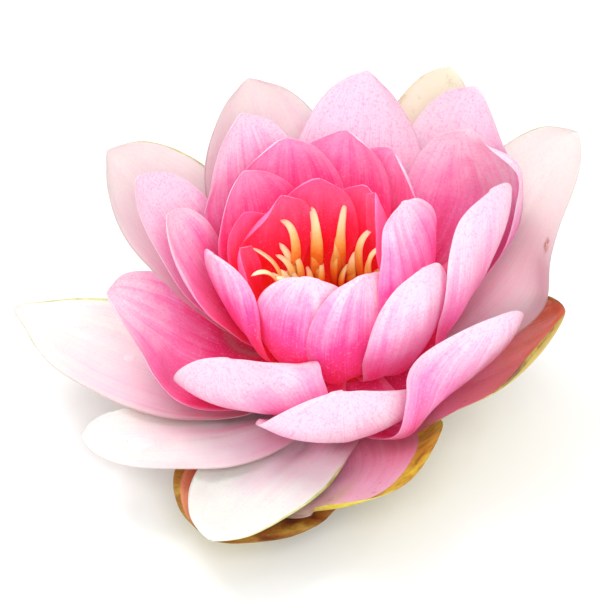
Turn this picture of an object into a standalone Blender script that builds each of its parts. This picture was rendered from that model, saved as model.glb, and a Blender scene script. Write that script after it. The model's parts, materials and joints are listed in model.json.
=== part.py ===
"""A pink water lily flower, picked with its stem cut short, resting on its sepals and its cut stem.

+Z is up, +Y points to the back of the flower, and lengths are in millimetres until a mesh is made.
Each sepal and petal is a cupped sheet along a curved spine. They are settled from the innermost outwards,
so that each one lies outside those already placed with a small gap.
"""

import math
from dataclasses import dataclass

import bmesh
import bpy
from mathutils import Matrix, Vector
from mathutils.bvhtree import BVHTree
from mathutils.geometry import interpolate_bezier

MM = 0.001

# Receptacle: the swollen end of the stem that everything grows from
STEM_RADIUS = 5.0
STEM_LENGTH = 3.0
RECEPTACLE_RADIUS = 13.0
RECEPTACLE_TOP = 16.0
RIM_WIDTH = 5.6
BOWL_DEPTH = 2.4
TURNED_STEPS = 28

# Sheets: sepals and petals
SHEET_THICKNESS = 0.6
SHEET_GAP = 0.55
SHEET_SPACING = SHEET_THICKNESS + SHEET_GAP
BASE_SHARE = 0.38
WIDEST_AT = 0.57
TIP_SHARE = 0.10
BASE_CLEARANCE = 0.4
ROW_CROWDING = 1.35
CUPPED_FROM = 0.5
SPINE_STEPS = 96
SEARCH_REACH = 9.0
SETTLE_PASSES = 24
SETTLED = 0.02
SETTLING_STEP = 0.6
SPREADING_ROUNDS = 5
SPREADING_SHARE = 0.82

# Stamens: a ring of broad petal-like ones, and inside it a joined whorl of slender ones
STAMEN_GAP = 0.3
BROAD_COUNT = 12
BROAD_RING = 11.2
BROAD_BASE = (3.1, 0.9)
BROAD_TIP_LEVEL = 34.5
BROAD_TIP_RISE = 2.5
BROAD_TIP_REACH = 12.6
SLENDER_COUNT = 14
SLENDER_RING = 8.7
SLENDER_BAND = (1.3, 0.8)
SLENDER_TIP_LEVEL = 29.0
SLENDER_TIP_REACH = 7.6
LEFTWARD_REACH = 2.4
STAMEN_RISE = 84.0
STAMEN_LEAN = 72.0
STAMEN_HANDLE = 0.4
TAPER = (1.0, 1.0, 0.98, 0.92, 0.78, 0.56, 0.22)

# Pistil: the fused carpels, with a shallow rayed stigma disc and a central knob
PISTIL_HEIGHT = 2.6
KNOB_RADIUS = 1.3
KNOB_HEIGHT = 2.0


@dataclass(frozen=True)
class Sheet:
    """One sepal or petal. Angles are in degrees, and azimuth 0 is +X, 90 is +Y.

    reach and height place the tip: its distance from the flower's axis and above the surface.
    rise and lean are the spine's slopes above the horizon at the base and at the tip.
    level is the height of the base on the receptacle. cup is how far the margins turn up.
    root turns the base about the flower's axis, sweep turns the way the tip points, and roll tips
    the sheet over about its own length. belly is how fully the spine bows out between its ends.
    """

    name: str
    azimuth: float
    reach: float
    height: float
    rise: float
    lean: float
    width: float
    cup: float
    level: float
    root: float = 0.0
    roll: float = 0.0
    sweep: float = 0.0
    belly: float = 0.38
    point: float = 0.56
    rows: int = 8
    columns: int = 6


# Innermost first: each sheet settles outside all those before it.
SHEETS = (
    Sheet("inner_petal_right", 8, 10.5, 50, 80, 98, 18, 46, 14.6, rows=6),
    Sheet("inner_petal_left", 184, 20.0, 37, 66, 92, 15, 44, 14.6, rows=6, roll=-15),
    Sheet("inner_petal_back_left", 137, 14.5, 43, 80, 98, 18, 46, 14.6, rows=6),
    Sheet("inner_petal_back", 97, 14.5, 44, 80, 98, 19, 46, 14.0, rows=6),
    Sheet("inner_petal_back_right", 52, 14.5, 44, 80, 98, 18, 46, 14.6, rows=6),
    Sheet("inner_petal_front", 212, 19.0, 28, 60, 96, 16, 46, 14.0, rows=6),
    Sheet("inner_petal_far_left", 160, 20.5, 40, 66, 92, 19, 40, 13.6, rows=6, roll=-30),
    Sheet("crown_petal_front_left", 257, 20.0, 44, 24, 104, 27, 50, 10.6, root=-6),
    Sheet("crown_petal_front_right", 294, 20.0, 44, 22, 104, 28, 48, 10.4),
    Sheet("crown_petal_right", 338, 16.5, 53, 38, 106, 26, 40, 12.0, roll=-30),
    Sheet("crown_petal_left", 143, 24.0, 46, 60, 92, 27, 40, 12.4, roll=-12),
    Sheet("crown_petal_far_left", 192, 26.0, 38, 34, 86, 23, 40, 11.8, root=16, roll=30),
    Sheet("crown_petal_back_left", 113, 24.0, 49.5, 62, 90, 26, 46, 12.2),
    Sheet("crown_petal_back", 79, 24.0, 50.5, 62, 90, 25, 46, 12.0),
    Sheet("crown_petal_back_right", 50, 23.5, 48, 62, 94, 25, 48, 12.6),
    Sheet("middle_petal_right_front", 312, 28.5, 48, 18, 100, 27, 40, 10.8, root=4),
    Sheet("middle_petal_right", 356, 34.0, 53, 22, 98, 36, 40, 10.6, root=0, roll=-46, belly=0.46),
    Sheet("middle_petal_left", 180, 35.5, 45, 34, 78, 25, 38, 10.0, root=4, roll=-14),
    Sheet("middle_petal_front_left", 232, 34.5, 28, -24, 98, 40, 44, 9.6, root=20, roll=36, belly=0.54, point=0.7),
    Sheet("middle_petal_front", 274, 38.5, 29.5, -29, 100, 40, 42, 9.8, root=6, roll=8, belly=0.56, point=0.7),
    Sheet("middle_petal_low_right", 325, 43.0, 38, -6, 84, 36, 38, 10.2, root=-8, roll=-26, belly=0.5, point=0.66),
    Sheet("middle_petal_back_right", 31, 34.0, 55, 40, 86, 23, 40, 10.4, root=-6, roll=10),
    Sheet("middle_petal_back_left", 129, 32.0, 54, 50, 82, 28, 42, 10.4),
    Sheet("middle_petal_top", 76, 37.0, 58, 50, 78, 31, 40, 10.0),
    Sheet("middle_petal_far_right", 42, 44.0, 58, 38, 78, 28, 38, 9.0, root=-4),
    Sheet("middle_petal_high_left", 168, 43.5, 48, 34, 66, 28, 36, 8.8, roll=-8),
    Sheet("outer_petal_back", 115, 44.0, 53, 36, 66, 34, 34, 7.8),
    Sheet("outer_petal_left", 156, 55.0, 45, 26, 52, 36, 30, 7.8, root=-6),
    Sheet("middle_petal_low_left", 183, 50.0, 24, -4, 44, 33, 34, 8.2, root=14),
    Sheet("outer_petal_right", 23, 61.0, 49, 18, 52, 36, 32, 7.4, root=-16),
    Sheet("sepal_back", 56, 50.0, 55, 30, 66, 25, 28, 6.2),
    Sheet("outer_petal_far_left", 174, 73.0, 10, -6, 12, 32, 18, 7.0, root=32, sweep=-10, point=0.95),
    Sheet("outer_petal_front_left", 208, 61.0, 6, -8, 2, 24, 18, 7.0, root=34, sweep=-30),
    Sheet("outer_petal_front", 247, 63.0, 6, -4, -2, 27, 16, 7.4, root=16),
    Sheet("sepal_right", 343, 53.0, 30, -8, 74, 36, 40, 6.8, root=-12, roll=4, point=0.7),
    Sheet("sepal_front_right", 266, 50.0, 6, -4, 2, 36, 56, 6.4, root=16, sweep=-36, belly=0.48),
    Sheet("sepal_front", 246, 61.0, 3.5, -2, 0, 35, 10, 6.2, root=6),
)


def clear_scene():
    """Removes whatever the file opened with."""
    for thing in list(bpy.data.objects):
        bpy.data.objects.remove(thing)


def make_material(name, colour, roughness):
    """A plain Principled finish."""
    material = bpy.data.materials.new(name)
    material.use_nodes = True
    shader = material.node_tree.nodes["Principled BSDF"]
    shader.inputs["Base Color"].default_value = (*colour, 1.0)
    shader.inputs["Roughness"].default_value = roughness
    shader.inputs["Metallic"].default_value = 0.0
    return material


def add_object(name, mesh, collection, material):
    """Puts a mesh in the flower's collection, shaded smooth."""
    made = bpy.data.objects.new(name, mesh)
    mesh.materials.append(material)
    mesh.shade_smooth()
    collection.objects.link(made)
    return made


def radial(azimuth, slope=0.0):
    """The unit vector at an azimuth, raised by a slope."""
    turn, tilt = math.radians(azimuth), math.radians(slope)
    return Vector((math.cos(turn) * math.cos(tilt), math.sin(turn) * math.cos(tilt), math.sin(tilt)))


# ---------------------------------------------------------------- receptacle and pistil


def receptacle_radius(level):
    """The receptacle's outer radius at a height: a stem that swells into a cup."""
    share = (level - STEM_LENGTH) / (RECEPTACLE_TOP - STEM_LENGTH)
    swell = math.sin(min(max(share, 0.0), 1.0) * math.pi / 2) ** 0.6
    return STEM_RADIUS + (RECEPTACLE_RADIUS - STEM_RADIUS) * swell


def turned(name, profile, collection, material):
    """A solid of revolution about Z from (radius, height) points that run down the outer side."""
    outline = bmesh.new()
    corners = [outline.verts.new((radius * MM, 0, height * MM)) for radius, height in profile]
    for first, second in zip(corners, corners[1:]):
        outline.edges.new((first, second))
    mesh = bpy.data.meshes.new(name)
    outline.to_mesh(mesh)
    outline.free()
    made = add_object(name, mesh, collection, material)
    screw = made.modifiers.new("turn", "SCREW")
    screw.axis = "Z"
    screw.steps = screw.render_steps = TURNED_STEPS
    screw.use_merge_vertices = True
    screw.merge_threshold = 0.00002
    return made


def make_receptacle(collection, material, cut_level):
    """The stem stub, cut off at a level, and the cup that the petals, stamens and pistil sit on."""
    levels = [RECEPTACLE_TOP - 0.4 - 2.0 * step for step in range(6)]
    profile = [(0, RECEPTACLE_TOP - BOWL_DEPTH)]
    profile += [(RECEPTACLE_RADIUS - RIM_WIDTH - 1.2, RECEPTACLE_TOP - BOWL_DEPTH)]
    profile += [(RECEPTACLE_RADIUS - RIM_WIDTH, RECEPTACLE_TOP), (RECEPTACLE_RADIUS - 0.5, RECEPTACLE_TOP)]
    profile += [(receptacle_radius(level), level) for level in levels]
    profile += [(STEM_RADIUS, STEM_LENGTH), (STEM_RADIUS, cut_level), (0, cut_level)]
    return turned("receptacle", profile, collection, material)


def make_pistil(collection, material):
    """The stigma disc: a shallow dish with an upturned rim and a knob at its centre."""
    floor = RECEPTACLE_TOP - BOWL_DEPTH + STAMEN_GAP
    dish = floor + PISTIL_HEIGHT * 0.55
    radius = RECEPTACLE_RADIUS - RIM_WIDTH - 1.2 - STAMEN_GAP
    profile = [
        (0, dish + KNOB_HEIGHT),
        (KNOB_RADIUS * 0.7, dish + KNOB_HEIGHT * 0.8),
        (KNOB_RADIUS, dish + KNOB_HEIGHT * 0.3),
        (KNOB_RADIUS * 1.4, dish),
        (radius * 0.7, dish + 0.5),
        (radius - 0.3, floor + PISTIL_HEIGHT),
        (radius, floor + PISTIL_HEIGHT * 0.8),
        (radius, floor),
        (0, floor),
    ]
    return turned("pistil", profile, collection, material)


# ---------------------------------------------------------------- stamens


def grow(shape, face, path):
    """Extrudes a face along a path, tapering it and keeping it square to the path's direction."""
    bmesh.ops.translate(shape, verts=face.verts, vec=path[0] - face.calc_center_median())
    for step in range(1, len(path)):
        before, after = path[step - 1], path[step]
        heading = (path[min(step + 1, len(path) - 1)] - before).normalized()
        face = bmesh.ops.extrude_discrete_faces(shape, faces=[face])["faces"][0]
        face.normal_update()
        turn = face.normal.rotation_difference(heading).to_matrix()
        bmesh.ops.rotate(shape, verts=face.verts, cent=before, matrix=turn)
        bmesh.ops.translate(shape, verts=face.verts, vec=after - before)
        shrink = TAPER[step] / TAPER[step - 1]
        middle = Matrix.Translation(after)
        bmesh.ops.scale(shape, verts=face.verts, vec=(shrink,) * 3, space=middle.inverted())
    return face


def stamen_path(azimuth, ring, foot, reach, level):
    """Points from a stamen's foot on its ring, outwards and up to its incurved tip."""
    base = radial(azimuth) * ring
    base.z = foot
    tip = radial(azimuth) * (reach - LEFTWARD_REACH * math.cos(math.radians(azimuth)))
    tip.z = level
    handle = (tip - base).length * STAMEN_HANDLE
    first = base + radial(azimuth, STAMEN_RISE) * handle
    second = tip - radial(azimuth, STAMEN_LEAN) * handle
    return interpolate_bezier(base, first, second, tip, len(TAPER))


def make_broad_stamen(index, collection, material):
    """One petal-like stamen: a flat strap that stands on the receptacle's rim and tapers to its tip."""
    azimuth = 360 * (index + 0.5) / BROAD_COUNT
    level = BROAD_TIP_LEVEL + BROAD_TIP_RISE * math.sin(math.radians(azimuth))
    foot = RECEPTACLE_TOP + STAMEN_GAP
    path = stamen_path(azimuth, BROAD_RING, foot + 1, BROAD_TIP_REACH, level)
    width, thickness = BROAD_BASE
    shape = bmesh.new()
    bmesh.ops.create_cube(shape, size=1.0)
    bmesh.ops.scale(shape, verts=shape.verts, vec=(thickness, width, 1))
    bmesh.ops.translate(shape, verts=shape.verts, vec=(BROAD_RING, 0, foot + 0.5))
    bmesh.ops.rotate(shape, verts=shape.verts, matrix=Matrix.Rotation(math.radians(azimuth), 3, "Z"))
    shape.normal_update()
    top = max(shape.faces, key=lambda face: face.normal.z)
    grow(shape, top, path)
    return finish_mesh(shape, f"broad_stamen_{index + 1:02d}", collection, material)


def make_slender_stamens(collection, material):
    """The inner whorl: slender stamens grown from the top of the one narrow band that joins them."""
    width, height = SLENDER_BAND
    foot = RECEPTACLE_TOP + STAMEN_GAP
    shape = bmesh.new()
    bmesh.ops.create_grid(shape, x_segments=1, y_segments=1, size=0.5)
    bmesh.ops.scale(shape, verts=shape.verts, vec=(width, height, 1))
    bmesh.ops.rotate(shape, verts=shape.verts, matrix=Matrix.Rotation(math.pi / 2, 3, "X"))
    bmesh.ops.translate(shape, verts=shape.verts, vec=(SLENDER_RING, 0, foot + height / 2))
    bmesh.ops.delete(shape, geom=shape.faces[:], context="FACES_ONLY")
    bmesh.ops.spin(
        shape, geom=shape.edges[:], axis=(0, 0, 1), angle=2 * math.pi, steps=2 * SLENDER_COUNT, use_merge=True
    )
    bmesh.ops.recalc_face_normals(shape, faces=shape.faces)
    tops = [face for face in shape.faces if face.normal.z > 0.9]
    tops.sort(key=lambda face: math.atan2(*face.calc_center_median().yx))
    for number, face in enumerate(tops[::2]):
        middle = face.calc_center_median()
        azimuth = math.degrees(math.atan2(middle.y, middle.x))
        level = SLENDER_TIP_LEVEL - 1.5 * (number % 2)
        grow(shape, face, stamen_path(azimuth, middle.xy.length, middle.z, SLENDER_TIP_REACH, level))
    return finish_mesh(shape, "slender_stamens", collection, material)


def finish_mesh(shape, name, collection, material):
    """Turns a shape in millimetres into an object in metres."""
    mesh = bpy.data.meshes.new(name)
    shape.to_mesh(mesh)
    shape.free()
    mesh.transform(Matrix.Scale(MM, 4))
    return add_object(name, mesh, collection, material)


# ---------------------------------------------------------------- sepals and petals


def half_width(sheet, along):
    """Half the sheet's width at a share of its length: a narrow claw, a broad middle and a tapered tip."""
    if along < WIDEST_AT:
        growth = math.sin(along / WIDEST_AT * math.pi / 2) ** 1.1
        share = BASE_SHARE + (1 - BASE_SHARE) * growth
    else:
        past = (along - WIDEST_AT) / (1 - WIDEST_AT)
        share = max((1 - past**2.1) ** sheet.point, TIP_SHARE)
    return sheet.width / 2 * share


def spine_points(sheet, count):
    """Points along the sheet's midrib: a cubic from its base on the receptacle to its tip."""
    base_azimuth = sheet.azimuth + sheet.root
    clearance = SHEET_SPACING / 2 + BASE_CLEARANCE
    base = radial(base_azimuth) * (receptacle_radius(sheet.level) + clearance)
    base.z = sheet.level
    tip = radial(sheet.azimuth) * sheet.reach
    tip.z = sheet.height
    handle = (tip - base).length * sheet.belly
    first = base + radial(base_azimuth, sheet.rise) * handle
    second = tip - radial(sheet.azimuth + sheet.sweep, sheet.lean) * handle
    return interpolate_bezier(base, first, second, tip, count)


def sheet_frames(sheet, shares):
    """(point, across, inward) of the spine at each share of its length."""
    line = spine_points(sheet, SPINE_STEPS + 1)
    base_azimuth = sheet.azimuth + sheet.root
    frames = []
    for share in shares:
        place = share * SPINE_STEPS
        index = min(int(place), SPINE_STEPS - 1)
        point = line[index].lerp(line[index + 1], place - index)
        tangent = (line[index + 1] - line[index]).normalized()
        azimuth = base_azimuth + (sheet.azimuth + sheet.sweep - base_azimuth) * share
        across = radial(azimuth + 90)
        across = (across - tangent * across.dot(tangent)).normalized()
        across = Matrix.Rotation(math.radians(sheet.roll) * share, 3, tangent) @ across
        frames.append((point, across, tangent.cross(across)))
    return frames


def sheet_surface(sheet):
    """The sheet's open middle surface as a bmesh, with its normals pointing out of the flower."""
    surface = bmesh.new()
    bmesh.ops.create_grid(surface, x_segments=sheet.columns, y_segments=sheet.rows, size=1.0)
    shares = {}
    for vert in surface.verts:
        row = round((vert.co.y + 1) / 2 * sheet.rows)
        shares[vert] = 1 - (1 - row / sheet.rows) ** ROW_CROWDING
    steps = sorted(set(shares.values()))
    frames = dict(zip(steps, sheet_frames(sheet, steps)))
    base_turn = half_width(sheet, 0) / receptacle_radius(sheet.level)
    for vert in surface.verts:
        along = shares[vert]
        point, across, inward = frames[along]
        half = half_width(sheet, along)
        blend = math.sin(min(along / CUPPED_FROM, 1.0) * math.pi / 2)
        turn = base_turn + (math.radians(sheet.cup) - base_turn) * blend
        angle = turn * vert.co.x
        offset = across * math.sin(angle) + inward * (1 - math.cos(angle))
        vert.co = point + offset * (half / turn)
    surface.normal_update()
    return surface


def crossing_depth(point, outwards, trees):
    """How far a point has to move outwards to lie one spacing outside every settled sheet."""
    need = 0.0
    for tree in trees:
        hit, _, _, distance = tree.ray_cast(point, outwards, SEARCH_REACH)
        if hit is not None:
            need = max(need, distance + SHEET_SPACING)
            continue
        near, _, _, distance = tree.find_nearest(point, SHEET_SPACING)
        if near is not None:
            need = max(need, SHEET_SPACING - distance)
    return need


def samples(surface):
    """(point, outward normal, corners to push) at every corner, edge middle and face middle."""
    for vert in surface.verts:
        yield vert.co, vert.normal, (vert,)
    for edge in surface.edges:
        first, second = edge.verts
        yield (first.co + second.co) / 2, (first.normal + second.normal).normalized(), (first, second)
    for face in surface.faces:
        yield face.calc_center_median(), face.normal, face.verts


def covered_depth(surface, settled, push):
    """Adds the push that a settled sheet's own samples ask for, where they poke through this one."""
    own = BVHTree.FromBMesh(surface)
    surface.faces.ensure_lookup_table()
    for other in settled:
        for point, normal, _ in samples(other):
            hit, _, index, distance = own.ray_cast(point, -normal, SEARCH_REACH)
            if hit is None:
                hit, _, index, gap = own.find_nearest(point, SHEET_SPACING)
                distance = -gap if hit is not None else 0.0
            if hit is None:
                continue
            for corner in surface.faces[index].verts:
                push[corner] = max(push[corner], distance + SHEET_SPACING)


def settle(surface, settled, trees):
    """Pushes a surface outwards, smoothly, until it clears every sheet already settled inside it."""
    for _ in range(SETTLE_PASSES):
        surface.normal_update()
        push = dict.fromkeys(surface.verts, 0.0)
        for point, normal, corners in samples(surface):
            need = crossing_depth(point, normal, trees)
            for corner in corners:
                push[corner] = max(push[corner], need)
        covered_depth(surface, settled, push)
        if max(push.values()) < SETTLED:
            break
        for _ in range(SPREADING_ROUNDS):
            spread = {}
            for vert in surface.verts:
                around = [push[edge.other_vert(vert)] for edge in vert.link_edges]
                spread[vert] = max(push[vert], SPREADING_SHARE * sum(around) / len(around))
            push = spread
        for vert in surface.verts:
            vert.co += vert.normal * push[vert] * SETTLING_STEP
    surface.normal_update()


def make_sheets(collection, finishes):
    """Settles every sheet, innermost first, makes each a thin closed solid, and gives the lowest level."""
    settled, trees = [], []
    for sheet in SHEETS:
        surface = sheet_surface(sheet)
        settle(surface, settled, trees)
        settled.append(surface)
        trees.append(BVHTree.FromBMesh(surface))
        mesh = bpy.data.meshes.new(sheet.name)
        surface.to_mesh(mesh)
        mesh.transform(Matrix.Scale(MM, 4))
        whorl = sheet.name.split("_")[0]
        made = add_object(sheet.name, mesh, collection, finishes[whorl])
        solidify = made.modifiers.new("thickness", "SOLIDIFY")
        solidify.thickness = SHEET_THICKNESS * MM
        solidify.offset = 0.0
        solidify.use_even_offset = True
    lowest = min(vert.co.z for surface in settled for vert in surface.verts) - SHEET_THICKNESS / 2
    for surface in settled:
        surface.free()
    return lowest


# ---------------------------------------------------------------- main


def stand_on_origin(collection):
    """Hangs every piece from one empty that puts the middle of the flower's underside at the origin."""
    bpy.context.view_layer.update()
    graph = bpy.context.evaluated_depsgraph_get()
    solids = [piece.evaluated_get(graph) for piece in collection.objects]
    corners = [Vector(corner) for solid in solids for corner in solid.bound_box]
    low = [min(corner[axis] for corner in corners) for axis in range(3)]
    high = [max(corner[axis] for corner in corners) for axis in range(3)]
    root = bpy.data.objects.new("flower_frame", None)
    for piece in collection.objects:
        piece.parent = root
    collection.objects.link(root)
    root.location = (-(low[0] + high[0]) / 2, -(low[1] + high[1]) / 2, -low[2])


def main():
    """Builds the flower in its own frame."""
    clear_scene()
    collection = bpy.data.collections.new("water_lily_flower")
    bpy.context.scene.collection.children.link(collection)
    finishes = {
        "inner": make_material("deep_rose", (0.86, 0.06, 0.22), 0.5),
        "crown": make_material("rose", (0.90, 0.22, 0.46), 0.5),
        "middle": make_material("pink", (0.92, 0.42, 0.62), 0.5),
        "outer": make_material("blush", (0.90, 0.72, 0.78), 0.5),
        "sepal": make_material("sepal_green", (0.55, 0.52, 0.16), 0.5),
    }
    stem = make_material("stem_green", (0.40, 0.42, 0.12), 0.5)
    gold = make_material("pistil_gold", (0.95, 0.55, 0.10), 0.5)
    cream = make_material("stamen_cream", (0.98, 0.80, 0.36), 0.5)
    lowest = make_sheets(collection, finishes)
    make_receptacle(collection, stem, lowest)
    make_pistil(collection, gold)
    make_slender_stamens(collection, cream)
    for index in range(BROAD_COUNT):
        make_broad_stamen(index, collection, cream)
    stand_on_origin(collection)


if __name__ == "__main__":
    main()
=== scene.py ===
"""Looks of an open pink water lily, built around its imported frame.

Every petal and sepal is read back from its own node as a grid of points and laid out again as a smooth blade
with ruffled margins, thin edges and veins. Stamens, pistil, stem and water drops are modelled afresh.
Lengths are in metres unless a name ends in _mm.
"""

from __future__ import annotations

import itertools
import json
import logging
import math
import random
from dataclasses import dataclass
from enum import Enum
from typing import Iterator, Optional, Sequence, Union

import bmesh
import bpy
from mathutils import Matrix, Vector, noise
from mathutils.geometry import interpolate_bezier

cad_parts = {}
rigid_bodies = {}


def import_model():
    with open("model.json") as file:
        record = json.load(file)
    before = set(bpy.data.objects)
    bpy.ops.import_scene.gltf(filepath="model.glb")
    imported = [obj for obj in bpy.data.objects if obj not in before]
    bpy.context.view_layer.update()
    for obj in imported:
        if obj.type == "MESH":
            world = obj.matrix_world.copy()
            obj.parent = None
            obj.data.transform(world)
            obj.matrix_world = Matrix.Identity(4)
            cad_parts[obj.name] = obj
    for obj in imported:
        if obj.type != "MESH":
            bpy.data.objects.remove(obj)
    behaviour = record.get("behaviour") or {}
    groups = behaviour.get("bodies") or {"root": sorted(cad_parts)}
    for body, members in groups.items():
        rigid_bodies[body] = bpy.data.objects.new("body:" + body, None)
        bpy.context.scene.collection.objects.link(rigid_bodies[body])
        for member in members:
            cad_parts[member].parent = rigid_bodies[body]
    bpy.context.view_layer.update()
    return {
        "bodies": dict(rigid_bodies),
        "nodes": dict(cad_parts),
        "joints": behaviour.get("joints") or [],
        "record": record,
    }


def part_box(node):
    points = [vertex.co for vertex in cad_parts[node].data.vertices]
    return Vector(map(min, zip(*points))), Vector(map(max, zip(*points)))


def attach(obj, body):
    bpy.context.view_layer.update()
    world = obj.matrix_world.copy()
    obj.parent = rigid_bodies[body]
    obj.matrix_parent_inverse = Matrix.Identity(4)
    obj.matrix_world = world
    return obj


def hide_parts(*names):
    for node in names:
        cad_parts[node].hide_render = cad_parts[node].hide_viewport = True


LOG = logging.getLogger("water_lily")
MM = 0.001
BODY = "root"

Colour = tuple[float, float, float]
Stops = tuple[tuple[float, Colour], ...]
Value = Union[float, tuple, "Signal"]


# ---------------------------------------------------------------- shader graphs


class Signal:
    """Something that varies over a surface: one output socket, with arithmetic that adds Math nodes."""

    def __init__(self, graph: "Graph", socket: bpy.types.NodeSocket) -> None:
        """Wraps a socket.

        Args:
            graph: The graph that the socket's node is in.
            socket: The output socket.
        """
        self.graph = graph
        self.socket = socket

    def _math(self, operation: str, first: Value, second: Value) -> "Signal":
        """Adds a Math node and returns its result."""
        return self.graph.node("ShaderNodeMath", {"operation": operation}, {0: first, 1: second})

    def __add__(self, other: Value) -> "Signal":
        """Returns self + other."""
        return self._math("ADD", self, other)

    def __radd__(self, other: Value) -> "Signal":
        """Returns other + self."""
        return self._math("ADD", other, self)

    def __sub__(self, other: Value) -> "Signal":
        """Returns self - other."""
        return self._math("SUBTRACT", self, other)

    def __rsub__(self, other: Value) -> "Signal":
        """Returns other - self."""
        return self._math("SUBTRACT", other, self)

    def __mul__(self, other: Value) -> "Signal":
        """Returns self * other."""
        return self._math("MULTIPLY", self, other)

    def __rmul__(self, other: Value) -> "Signal":
        """Returns other * self."""
        return self._math("MULTIPLY", other, self)

    def __abs__(self) -> "Signal":
        """Returns the size of self without its sign."""
        return self._math("ABSOLUTE", self, 0.0)


class Graph:
    """One material's node tree, around its Principled shader."""

    MIX_FACTOR, MIX_FIRST, MIX_SECOND, MIX_RESULT = 0, 6, 7, 2

    def __init__(self, name: str) -> None:
        """Starts a material.

        Args:
            name: The material's name.
        """
        self.material = bpy.data.materials.new(name)
        self.material.use_nodes = True
        self.tree = self.material.node_tree
        self.shader = self.tree.nodes["Principled BSDF"]

    def node(
        self,
        kind: str,
        settings: Optional[dict] = None,
        inputs: Optional[dict] = None,
        output: Union[int, str] = 0,
    ) -> Signal:
        """Adds a node.

        Args:
            kind: The node's type.
            settings: Its settings; "stops" holds a colour ramp's (place, colour) pairs.
            inputs: Values or signals for its sockets, by index or name.
            output: The output to return.

        Returns:
            The output as a signal.
        """
        made = self.tree.nodes.new(kind)
        for key, value in (settings or {}).items():
            if key == "stops":
                self._set_stops(made.color_ramp, value)
            else:
                setattr(made, key, value)
        for key, value in (inputs or {}).items():
            self._feed(made.inputs[key], value)
        return Signal(self, made.outputs[output])

    def _feed(self, socket: bpy.types.NodeSocket, value: Value) -> None:
        """Links a signal to an input, or sets the input's own value."""
        if isinstance(value, Signal):
            self.tree.links.new(value.socket, socket)
        elif socket.type == "RGBA" and len(value) == 3:
            socket.default_value = (*value, 1.0)
        else:
            socket.default_value = value

    @staticmethod
    def _set_stops(ramp: bpy.types.ColorRamp, stops: Stops) -> None:
        """Gives a colour ramp its stops."""
        while len(ramp.elements) < len(stops):
            ramp.elements.new(0.5)
        for element, (place, colour) in zip(ramp.elements, stops):
            element.position = place
            element.color = (*colour, 1.0)

    def attribute(self, name: str) -> Signal:
        """Returns a number that the mesh carries at its points."""
        return self.node("ShaderNodeAttribute", {"attribute_name": name}, output="Fac")

    def place(self) -> Signal:
        """Returns the point's place in object coordinates."""
        return self.node("ShaderNodeTexCoord", output="Object")

    def vector(self, x: Value, y: Value, z: Value) -> Signal:
        """Returns a vector of three numbers."""
        return self.node("ShaderNodeCombineXYZ", inputs={0: x, 1: y, 2: z})

    def grain(self, where: Signal, scale: float, detail: float = 2.0, roughness: float = 0.5) -> Signal:
        """Returns soft noise from 0 to 1.

        Args:
            where: The vector to read it at.
            scale: How many features fit in one unit.
            detail: Octaves of finer noise.
            roughness: How strong the finer octaves are.

        Returns:
            The noise.
        """
        inputs = {"Vector": where, "Scale": scale, "Detail": detail, "Roughness": roughness}
        return self.node("ShaderNodeTexNoise", inputs=inputs, output="Fac")

    def step(self, value: Signal, low: float, high: float) -> Signal:
        """Returns 0 below low, 1 above high, and a smooth rise between."""
        settings = {"interpolation_type": "SMOOTHSTEP"}
        inputs = {"Value": value, "From Min": low, "From Max": high, "To Min": 0.0, "To Max": 1.0}
        return self.node("ShaderNodeMapRange", settings, inputs, output="Result")

    def ramp(self, value: Signal, stops: Stops) -> Signal:
        """Returns a colour read along a ramp."""
        return self.node("ShaderNodeValToRGB", {"stops": stops}, {"Fac": value}, output="Color")

    def mix(self, share: Value, first: Value, second: Value) -> Signal:
        """Mixes two colours, from the first at a share of 0 to the second at 1."""
        inputs = {self.MIX_FACTOR: share, self.MIX_FIRST: first, self.MIX_SECOND: second}
        return self.node("ShaderNodeMix", {"data_type": "RGBA"}, inputs, output=self.MIX_RESULT)

    def bump(self, height: Signal, distance: float) -> None:
        """Raises the shader's normal by a height from 0 to 1, over a distance in metres."""
        inputs = {"Height": height, "Distance": distance, "Strength": 1.0}
        self.set("Normal", self.node("ShaderNodeBump", inputs=inputs, output="Normal"))

    def flesh(self, weight: float, reach: Colour, depth_mm: float) -> None:
        """Lets light scatter under the surface, over a depth and further in some colours."""
        self.set("Subsurface Weight", weight)
        self.set("Subsurface Radius", reach)
        self.set("Subsurface Scale", depth_mm * MM)

    def set(self, socket: str, value: Value) -> None:
        """Gives the shader's socket a value or a signal."""
        self._feed(self.shader.inputs[socket], value)


# ---------------------------------------------------------------- finishes


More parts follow.
